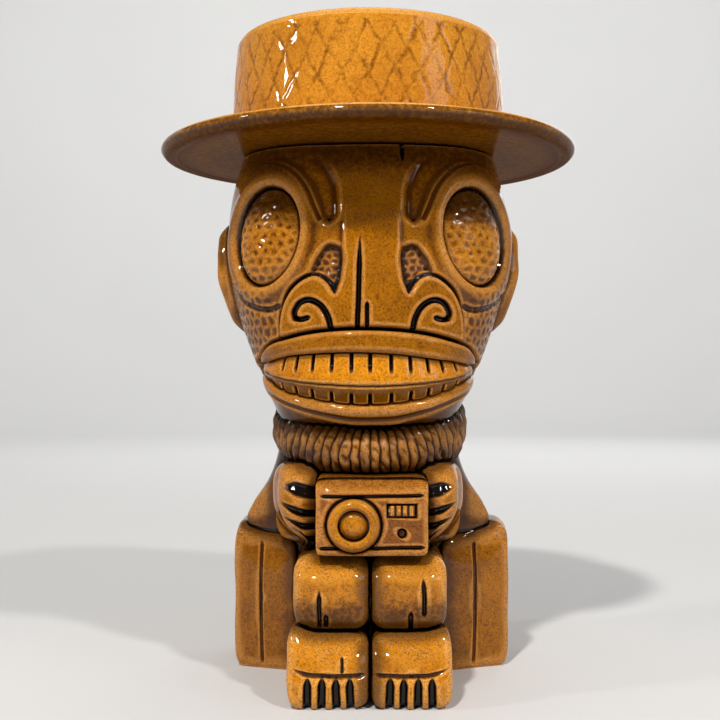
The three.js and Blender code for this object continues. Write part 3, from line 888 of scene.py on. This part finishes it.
def make_camera():
    """The case, with lines along its top and base, and wells for the lens ring, the window and the knob."""
    low, high = CAMERA_LOW.copy(), CAMERA_HIGH.copy()
    low[0] += MIDDLE - 0.1
    high[0] += MIDDLE + 0.3
    high[2] = 64.6
    points = slab(low, high, 16, 2.4, 1.6, detail(0.26))
    x, y, z = coordinates(points)
    face = Carving(x, z, smooth(low[1] + 3, low[1] + 1, y))
    middle, half_width = (low[0] + high[0]) / 2, (high[0] - low[0]) / 2
    for level, margin, width in ((59.4, 1.4, 1.2), (44.6, 1.0, 1.3)):
        reach = half_width - margin
        face.groove([(middle - reach, level - 0.1), (middle, level), (middle + reach, level + 0.2)],
                    width, 1.2, (0.06, 0.06), 0.9)
    lens, knob = np.hypot(x - LENS_X, z - LENS_Z), np.hypot(x - KNOB_X, z - KNOB_Z)
    window = np.maximum(np.abs(x - WINDOW_X) - WINDOW_WIDTH / 2, np.abs(z - WINDOW_Z) - WINDOW_HEIGHT / 2)
    for outside, depth, (rim, bed), (pale, dark) in (
        (lens, 1.3, (8.8, 7.9), (8.6, 7.9)),
        (window, 1.5, (0.25, -0.35), (0.2, -0.3)),
        (knob, 1.2, (1.6, 1.0), (1.6, 1.2)),
    ):
        face.height -= depth * smooth(rim, bed, outside) * face.mask
        face.darken(smooth(pale, dark, outside) * face.mask)
    # The top plate leans back.
    y += face.mask * 4.5 * smooth(60.0, high[2] + 1.5, z) ** 1.2 - face.height
    worn(points, 0.06, 9, 91)
    sculpt("camera_case", points, "camera_body", "honey_glaze", "camera", face.stain_and_shade, relax=9, reach=5)


def turned_forward(profile, x, z, count):
    """A profile of radius and distance in front of the camera's face, turned round an axis along Y."""
    turn = round_angles(count)
    return [vectors(x + r * np.sin(turn), np.full(count, CAMERA_LOW[1] - forward), z + r * np.cos(turn))
            for r, forward in profile]


def make_lens():
    """The lens ring with the lens's dome in it, and the release knob's pin."""
    count = detail(170)
    ring = [(4.5, -1.6), (4.55, 1.9), (5.1, 2.7), (6, 2.8), (6.9, 2.3), (7.4, 1.0), (7.45, -1.6)]
    rings = turned_forward(flowing(ring, steps=6), LENS_X, LENS_Z, count)
    sculpt("camera_lens_barrel", rings, "camera_lens_ring", "honey_glaze", "knee", relax=6, reach=1.2,
           closed=True)
    dome = flowing([(0.2, 2.05), (1.7, 1.9), (3.1, 1.3), (3.95, 0.3), (4.1, -0.6)], steps=6)
    rings = turned_forward([*dome, (4, -1.2), (1.5, -1.2), (0.2, -1.2)], LENS_X, LENS_Z, count)
    sculpt("camera_lens_dome", rings, "camera_lens", "honey_glaze", "knee", relax=4, reach=1.0)
    pin = flowing([(0.05, -0.1), (0.5, -0.2), (0.85, -0.5), (0.95, -1.1)], steps=4)
    rings = turned_forward([*pin, (0.05, -1.1)], KNOB_X, KNOB_Z, 40)
    sculpt("camera_knob_pin", rings, "camera_knob", "stained_glaze", "dark", relax=2, reach=0.6)


def make_window():
    """The viewfinder's window: a plate in its well, with four upright bars."""
    half_width, half_height = WINDOW_WIDTH / 2 - 0.75, WINDOW_HEIGHT / 2 - 0.6
    low = (WINDOW_X - half_width, CAMERA_LOW[1] + 0.35, WINDOW_Z - half_height)
    high = (WINDOW_X + half_width, CAMERA_LOW[1] + 1.6, WINDOW_Z + half_height)
    points = slab(low, high, 8, 2.0, 0.4, 0.12)
    x, y, _ = coordinates(points)
    bars = np.cos((x - low[0]) / half_width * 4 * math.pi)
    face = smooth(low[1] + 0.5, low[1] + 0.3, y)
    y += face * 0.45 * smooth(-0.3, 0.7, bars)
    stain_and_shade = 0.8 * face * smooth(0.2, 0.9, bars)
    sculpt("camera_window", points, "camera_viewfinder", "honey_glaze", "knee", stain_and_shade, relax=3, reach=0.8)


# ---- The hat ----

LOZENGES = 18  # round half of the crown's side
AROUND_HAT = detail(900)


def turned_up(profile, count):
    """A profile of radius and height turned round the hat's axis, with its points' angles and radii."""
    turn = round_angles(count)
    rings = np.array([vectors(r * np.sin(turn), -r * np.cos(turn), np.full(count, z)) for r, z in profile])
    return rings, np.broadcast_to(turn, rings.shape[:2]), np.hypot(rings[..., 0], rings[..., 1])


def rows_of(rings, first, last=None):
    """One in the rings from first to last, and zero in the others."""
    chosen = np.zeros(rings.shape[:2])
    chosen[first:last] = 1
    return chosen


def straw_lines(slant, rings, seed, fine_seed):
    """Soft wandering lines, where the phase of a slanting weave passes through a half turn."""
    wander = 0.3 * waviness(rings, 12, seed) + 0.16 * waviness(rings, 4, fine_seed)
    return 1 - smooth(0.0, 0.62, np.abs(np.sin(slant + wander)))


def make_crown():
    """The crown: a weave of crossing straws in shallow lozenges on its side, and rings of straw on top."""
    radius_low, radius_high = CROWN_HIGH[0], 41.8
    top, base = CROWN_HIGH[2], CROWN_LOW[2]
    heights = np.linspace(base, top - 2.0, detail(130))
    radii = radius_low + (radius_high - radius_low) * (heights - base) / (top - base)
    inner = [(0.4, top - HAT_WALL), (radius_high - HAT_WALL - 2, top - HAT_WALL),
             (radius_high - HAT_WALL, top - HAT_WALL - 2), (radius_low - HAT_WALL, base)]
    edge = [(radius_high - 2.4 * (1 - math.cos(t)), top - 2.2 * (1 - math.sin(t)))
            for t in np.linspace(0.1, 1.57, 9)]
    cap = [(r, top) for r in np.linspace(radius_high - 3.0, 0.4, 40)]
    rings, turn, r = turned_up([*inner, *zip(radii, heights), *edge, *cap], AROUND_HAT)
    z = rings[..., 2]
    begin = len(inner)
    end = begin + len(heights)
    on_side = rows_of(rings, begin, end)
    on_side *= smooth(base + 0.8, base + 2.2, z) * smooth(top - 1.8, top - 4.2, z)
    climb = (z - base) * 0.23
    lines = np.maximum(straw_lines(turn * LOZENGES + climb, rings, 101, 105),
                       straw_lines(turn * LOZENGES - climb, rings, 106, 107))
    lines = lines * (0.5 + 0.5 * smooth(-0.7, 0.8, waviness(rings, 8, 104)))
    away = vectors(np.sin(turn), -np.cos(turn), 0 * turn)
    on_top = rows_of(rings, end + len(edge))
    moved = rings + away * ((0.25 * waviness(rings, 26, 102) - 0.14 * lines) * on_side)[..., None]
    moved[..., 2] -= on_top * (0.08 * (1 + np.cos(r * 2.1)) * smooth(2, 6, r) + 0.25 * smooth(34, 0, r))
    stain_and_shade = lines**0.6 * on_side * 0.26
    sculpt("hat_crown_weave", moved, "hat_crown", "honey_glaze", "hat", stain_and_shade, body="hat")


def make_brim():
    """The brim: a rolled edge with a soft step under it, and rings of straw on top."""
    low, high, outer = BRIM_LOW[2], BRIM_HIGH[2], BRIM_HIGH[0]
    bore = RING_HIGH[0] - HAT_WALL
    edge = flowing([(outer - 4.6, low + 0.15), (outer - 3.2, low), (outer - 1.4, low + 0.55),
                    (outer - 0.15, low + 1.9), (outer - 0.1, low + 3.0), (outer - 1.0, high - 0.5),
                    (outer - 2.6, high)], steps=9)
    under = [(r, low + 0.55) for r in np.linspace(bore, outer - 6.6, 46)] + [(outer - 5.4, low + 0.45)]
    over = [(r, high) for r in np.linspace(outer - 3.2, bore, 110)]
    rings, turn, r = turned_up([*under, *edge, *over], AROUND_HAT)
    over_start = len(under) + len(edge)
    straws = 0.09 * (1 + np.cos(r * 2.1 + 0.3 * waviness(rings, 30, 103)))
    moved = rings.copy()
    moved[..., 2] -= rows_of(rings, over_start) * smooth(46, 50, r) * straws
    moved[..., 2] += (0.35 * np.sin(2 * turn + 0.6) - 0.35) * smooth(40, 66, r)
    # Painted shade darkens the underside; the lower part of the rolled edge is darker.
    stain_and_shade = 0.24 * rows_of(rings, 0, len(under)) + 0.4 * rows_of(rings, len(under) + 2, over_start - 14)
    sculpt("hat_brim_disc", moved, "hat_brim", "honey_glaze", "hat", stain_and_shade, body="hat", closed=True)


def make_seat_ring():
    """The ring under the brim that drops into the mouth."""
    low, high, outer = RING_LOW[2], RING_HIGH[2], RING_HIGH[0]
    bore = outer - HAT_WALL
    profile = flowing([(bore + 0.4, low + 0.2), (outer - 1.4, low), (outer - 0.4, low + 0.8),
                       (outer, low + 2.4), (outer, high)], steps=5)
    rings, _, _ = turned_up([*profile, (bore, high), (bore, (low + high) / 2), (bore, low + 1)], 260)
    sculpt("hat_seat_collar", rings, "hat_seat_ring", "bare_clay", "clay", body="seat_ring", relax=4,
           closed=True)


# ---- Staining and painted shade in the joints between pieces ----

@functools.cache
def surface_tree(name):
    data = PIECES[name]
    faces = data["quads"].tolist() + data["triangles"].tolist()
    return BVHTree.FromPolygons(data["vertices"].tolist(), faces)


def contact_shade(name, others):
    """How close each of a piece's points is to the surfaces of other pieces: 1 in contact, 0 beyond reach."""
    points = PIECES[name]["vertices"]
    shade = np.zeros(len(points))
    for other in others:
        shape = PIECES[other]["vertices"]
        reach = min(PIECES[name]["reach"], PIECES[other]["reach"])
        low, high = shape.min(axis=0) - reach, shape.max(axis=0) + reach
        for i in np.flatnonzero(((points > low) & (points < high)).all(axis=1)):
            _, _, _, distance = surface_tree(other).find_nearest(Vector(points[i]), reach)
            if distance is not None:
                shade[i] = max(shade[i], 1 - distance / reach)
    return shade


# ---- Materials ----

def linear(red, green, blue):
    """An sRGB colour of 0 to 255 as the linear colour that Blender takes."""
    def channel(value):
        value /= 255
        return value / 12.92 if value <= 0.04045 else ((value + 0.055) / 1.055) ** 2.4
    return (channel(red), channel(green), channel(blue), 1.0)


def add_object(name, data):
    made = bpy.data.objects.new(name, data)
    bpy.context.scene.collection.objects.link(made)
    return made


class Graph:
    """A short way to add and join a material's nodes."""

    def __init__(self, name):
        self.material = bpy.data.materials.new(name)
        self.material.use_nodes = True
        self.tree = self.material.node_tree
        self.place = self.node("ShaderNodeTexCoord").outputs["Object"]

    def feed(self, node, inputs):
        """Links or sets a node's inputs."""
        for key, value in inputs.items():
            if isinstance(value, bpy.types.NodeSocket):
                self.tree.links.new(value, node.inputs[key])
            else:
                node.inputs[key].default_value = value

    def shade(self, **inputs):
        """Links or sets the shader's inputs, named with underscores for their spaces."""
        named = {key.replace("_", " "): value for key, value in inputs.items()}
        self.feed(self.tree.nodes["Principled BSDF"], named)

    def node(self, kind, inputs=None, **settings):
        made = self.tree.nodes.new(kind)
        for key, value in settings.items():
            setattr(made, key, value)
        self.feed(made, inputs or {})
        return made

    def noise(self, scale, octaves=3.0, roughness=0.55):
        inputs = {"Scale": scale, "Detail": octaves, "Roughness": roughness, "Vector": self.place}
        return self.node("ShaderNodeTexNoise", inputs).outputs["Fac"]

    def attribute(self, name):
        return self.node("ShaderNodeAttribute", attribute_name=name).outputs["Fac"]

    def upward(self):
        normal = self.node("ShaderNodeNewGeometry").outputs["Normal"]
        return self.node("ShaderNodeSeparateXYZ", {0: normal}).outputs["Z"]

    def ramp(self, value, low, high, start=0.0, end=1.0):
        inputs = {"Value": value, "From Min": low, "From Max": high, "To Min": start, "To Max": end}
        return self.node("ShaderNodeMapRange", inputs, interpolation_type="SMOOTHSTEP").outputs["Result"]

    def math(self, operation, a, b, clamp=False):
        return self.node("ShaderNodeMath", {0: a, 1: b}, operation=operation, use_clamp=clamp).outputs[0]

    def plus(self, a, b, clamp=False):
        return self.math("ADD", a, b, clamp)

    def times(self, a, b, clamp=False):
        return self.math("MULTIPLY", a, b, clamp)

    def most(self, a, b):
        return self.math("MAXIMUM", a, b)

    def mix(self, share, first, second):
        return self.node("ShaderNodeMix", {0: share, 6: first, 7: second}, data_type="RGBA").outputs[2]

    def bump(self, height, strength, distance):
        inputs = {"Height": height, "Strength": strength, "Distance": distance}
        return self.node("ShaderNodeBump", inputs).outputs["Normal"]


def glaze_colour(g, mottle, upward, thin, deep, tan, wash, speckle):
    """Golden where it is thin and brown where it is deep, tan and speckled on edges, black in the gouges."""
    edge, contact = g.attribute("edge"), g.attribute("contact")
    clouds = g.plus(g.times(g.ramp(g.noise(55), 0.3, 0.7), 0.3), g.times(g.ramp(mottle, 0.3, 0.75), 0.45))
    depth = g.plus(clouds, g.times(g.attribute("hollow"), 0.9))
    depth = g.math("SUBTRACT", depth, g.times(edge, 0.35), clamp=True)
    colour = g.mix(depth, linear(*thin), linear(*deep))
    # Fine grain all over, as on a sprayed glaze.
    grain = linear(deep[0] * 0.75, deep[1] * 0.62, deep[2] * 0.6)
    colour = g.mix(g.times(g.ramp(g.noise(1700, 3, 0.7), 0.49, 0.62), 0.6 * speckle), colour, grain)
    # Painted shade: down-facing places are darkened to brown.
    colour = g.mix(g.times(g.ramp(upward, 0.0, -0.6), 0.75), colour, linear(66, 32, 3))
    # Up-facing places turn tan with dark flecks: the flecks are the glaze's speckle, and the lighter tops are
    # painted light.
    speckled_and_lit = g.times(g.ramp(upward, 0.12, 0.75), g.ramp(mottle, 0.35, 0.6))
    colour = g.mix(g.times(speckled_and_lit, 0.5), colour, linear(*tan))
    # Edges, where the glaze has run thin.
    ragged = g.times(edge, g.ramp(mottle, 0.25, 0.7, 0.55, 1.15), clamp=True)
    colour = g.mix(g.times(ragged, 0.8), colour, linear(*tan))
    flecked = g.most(g.times(ragged, 0.6), g.times(speckled_and_lit, 0.8))
    flecks = g.times(g.ramp(g.noise(2100, 2, 0.6), 0.52, 0.6), flecked)
    colour = g.mix(g.times(flecks, speckle, clamp=True), colour, linear(62, 32, 10))
    # Brown and then black in the gouges, the hollows and the joints: glaze staining, and painted shade close
    # to other pieces and in the painted-shade marks of the layer.
    pooled_and_shaded = g.most(g.attribute("stain_and_shade"), g.ramp(contact, 0.68, 1.0))
    pooled_and_shaded = g.plus(pooled_and_shaded, g.ramp(mottle, 0.3, 0.7, -0.1, 0.1), clamp=True)
    browned = g.most(g.ramp(pooled_and_shaded, 0.06, 0.5), g.times(g.ramp(contact, 0.1, 0.7), 0.95))
    colour = g.mix(g.times(browned, 0.85), colour, linear(62, 29, 4))
    colour = g.mix(g.ramp(pooled_and_shaded, 0.42, 0.8), colour, linear(16, 9, 6))
    if wash:
        colour = g.mix(g.ramp(g.noise(160, 4, 0.6), 0.35, 0.75, 0.0, wash), colour, linear(40, 20, 8))
    return colour


def glaze(name, thin, deep, tan, wash=0.0, speckle=1.0):
    """Glossy glaze whose surface waves a little, with fine pits under the gloss and less gloss underneath."""
    g = Graph(name)
    mottle, upward, waves = g.noise(640, 5, 0.7), g.upward(), g.noise(140, 2, 0.4)
    relief = g.plus(waves, g.times(g.noise(900, 3, 0.6), 0.22))
    g.shade(
        Base_Color=glaze_colour(g, mottle, upward, thin, deep, tan, wash, speckle),
        Roughness=g.ramp(mottle, 0.3, 0.8, 0.16, 0.30),
        Normal=g.bump(relief, 0.32, 0.0006),
        Coat_Normal=g.bump(waves, 0.22, 0.0005),
        Coat_Weight=g.ramp(upward, -0.95, -0.4, 0.12, 0.8),
        Coat_Roughness=0.03,
        Coat_IOR=1.44,
        Specular_IOR_Level=0.0,
    )
    return g.material


def bare_clay():
    """Matt grainy clay, washed here and there with thin brown glaze."""
    g = Graph("bare_clay")
    grain = g.noise(900, 4, 0.7)
    colour = g.mix(g.ramp(grain, 0.35, 0.7), linear(214, 184, 146), linear(176, 138, 98))
    washed = g.times(g.ramp(g.noise(120, 4), 0.4, 0.7), 0.35)
    g.shade(
        Base_Color=g.mix(washed, colour, linear(150, 92, 40)),
        Roughness=g.ramp(grain, 0.3, 0.8, 0.7, 0.9),
        Normal=g.bump(grain, 0.4, 0.0003),
    )
    return g.material


def make_materials():
    return {
        "amber": glaze("amber_glaze", (172, 106, 4), (92, 47, 2), (198, 134, 60)),
        "knee": glaze("knee_glaze", (202, 128, 10), (110, 56, 3), (218, 150, 66)),
        "eye": glaze("eye_glaze", (212, 136, 18), (116, 60, 4), (218, 150, 68)),
        "honey": glaze("honey_glaze", (222, 142, 18), (142, 78, 4), (228, 160, 74)),
        "hat": glaze("hat_glaze", (216, 146, 40), (164, 96, 12), (220, 156, 72), speckle=0.8),
        "camera": glaze("camera_glaze", (146, 82, 5), (80, 40, 3), (202, 136, 62)),
        "garland": glaze("garland_glaze", (130, 78, 10), (56, 28, 4), (192, 132, 62), wash=0.5),
        "dark": glaze("dark_glaze", (60, 32, 12), (26, 14, 6), (90, 56, 30)),
        "clay": bare_clay(),
    }


# ---- The model ----

def build_pieces():
    make_casting()
    for side in (-1, 1):
        for make in (make_eye, make_ear, make_arm, make_leg, make_foot, make_seat_block):
            make(side)
    make_lip("upper_lip", LIP_TOP, LIP_PARTING_TOP, 2.6, 0.4, 2.6)
    make_lip("lower_lip", LIP_BOTTOM, LIP_PARTING_BOTTOM, 3.1, 0.55, 0.9)
    make_teeth("upper_teeth", 1)
    make_teeth("lower_teeth", -1)
    for make in (make_garland, make_camera, make_lens, make_window, make_crown, make_brim, make_seat_ring):
        make()


def joined_pieces(name):
    """The pieces that the glaze has joined to this one, which are the mug's."""
    fired = [other for other, data in PIECES.items() if data["body"] == "mug"]
    if name not in fired or (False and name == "casting"):
        return []
    return [other for other in fired if other != name]


def piece_mesh(name, data):
    """The mesh, with what the glaze has to know at each point."""
    vertices, quads, triangles = data["vertices"], data["quads"], data["triangles"]
    mesh = bpy.data.meshes.new(name)
    mesh.vertices.add(len(vertices))
    mesh.vertices.foreach_set("co", (vertices * MM).ravel())
    mesh.loops.add(quads.size + triangles.size)
    mesh.loops.foreach_set("vertex_index", np.concatenate([quads.ravel(), triangles.ravel()]))
    mesh.polygons.add(len(quads) + len(triangles))
    starts = np.concatenate([np.arange(len(quads)) * 4, quads.size + np.arange(len(triangles)) * 3])
    mesh.polygons.foreach_set("loop_start", starts)
    mesh.update(calc_edges=True)
    mesh.validate()
    mesh.shade_smooth()
    layers = {
        "hollow": data["hollow"] / 0.12,
        "edge": data["edge"] / 0.07 - 0.35,
        "stain_and_shade": np.maximum(data["carved_and_shaded"], smooth(0.16, 0.42, data["hollow"])),
        "contact": contact_shade(name, joined_pieces(name)),
    }
    for layer, values in layers.items():
        values = np.clip(values, 0, 1).astype(np.float32)
        mesh.attributes.new(layer, "FLOAT", "POINT").data.foreach_set("value", values)
    return mesh


def finish_pieces():
    """Turns the kept meshes into objects that ride on their bodies."""
    materials = make_materials()
    for name, data in PIECES.items():
        piece = add_object(name, piece_mesh(name, data))
        piece.data.materials.append(materials[data["glaze"]])
        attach(piece, data["body"])
        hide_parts(data["node"])


# ---- The studio ----

def make_stage():
    """A pale floor that curves up into a low wall all round."""
    count = 96
    turn = round_angles(count)
    curve = [(1.3 + 0.5 * math.sin(a), 0.5 - 0.5 * math.cos(a)) for a in np.linspace(0.15, math.pi / 2, 12)]
    profile = [(0.02, 0), (0.6, 0), (1.3, 0), *curve, (1.8, 1.1)]
    rings = [vectors(r * np.cos(turn), r * np.sin(turn), np.full(count, z)) for r, z in profile]
    vertices, quads, triangles = ring_stack(rings)
    mesh = bpy.data.meshes.new("studio_floor")
    open_top = quads.tolist() + triangles[:count].tolist()
    mesh.from_pydata(vertices.tolist(), [], open_top)
    mesh.shade_smooth()
    g = Graph("studio_floor")
    g.shade(Base_Color=g.mix(g.noise(3), (0.66, 0.66, 0.66, 1), (0.70, 0.70, 0.69, 1)), Roughness=0.75)
    mesh.materials.append(g.material)
    add_object("studio_floor", mesh)


def area_light(name, place, target, size, power, colour=(1, 1, 1)):
    data = bpy.data.lights.new(name, "AREA")
    data.shape = "ELLIPSE"
    data.size, data.size_y = size
    data.energy = power
    data.color = colour
    light = add_object(name, data)
    light.location = place
    light.rotation_euler = (Vector(target) - Vector(place)).to_track_quat("-Z", "Y").to_euler()


def make_lights():
    """Small lamps for the sharp highlights in the glaze, wide soft ones, and a glow on the wall behind."""
    target = (0, 0, 0.1)
    area_light("key", (-0.27, -0.80, 1.05), target, (0.08, 0.08), 11.6, (1, 0.97, 0.93))
    area_light("second_key", (0.55, -0.72, 0.95), target, (0.08, 0.08), 6.0, (1, 0.98, 0.95))
    area_light("left_lamp", (-0.85, -0.30, 0.60), target, (0.07, 0.10), 1.7, (1, 0.98, 0.95))
    area_light("fill", (0.9, -0.6, 0.55), target, (0.5, 0.5), 1.3, (0.98, 0.98, 1))
    area_light("top", (0.0, 0.25, 1.1), target, (0.7, 0.7), 1.6)
    area_light("rear", (0.5, 0.95, 0.6), target, (0.7, 0.7), 1.2)
    area_light("wall", (0, 0.7, 1.0), (0, 1.75, 0.35), (1.2, 0.3), 9)
    world = bpy.data.worlds.new("studio_air")
    world.use_nodes = True
    world.node_tree.nodes["Background"].inputs["Color"].default_value = (0.93, 0.95, 1.0, 1)
    world.node_tree.nodes["Background"].inputs["Strength"].default_value = 0.09
    bpy.context.scene.world = world
    bpy.context.scene.view_settings.view_transform = "Standard"


def make_camera_view():
    """The camera that fits the photograph: it looks level along +Y, and its picture is shifted."""
    data = bpy.data.cameras.new("view")
    data.sensor_width = 36
    data.lens = 55.9
    data.shift_x = -0.0112
    data.shift_y = 0.0139
    data.clip_start = 0.01
    camera = add_object("view", data)
    camera.location = (0, -0.3625, 0.0953)
    camera.rotation_euler = (math.pi / 2, 0, 0)
    bpy.context.scene.camera = camera


make_camera_view()
build_pieces()
finish_pieces()
make_stage()
make_lights()
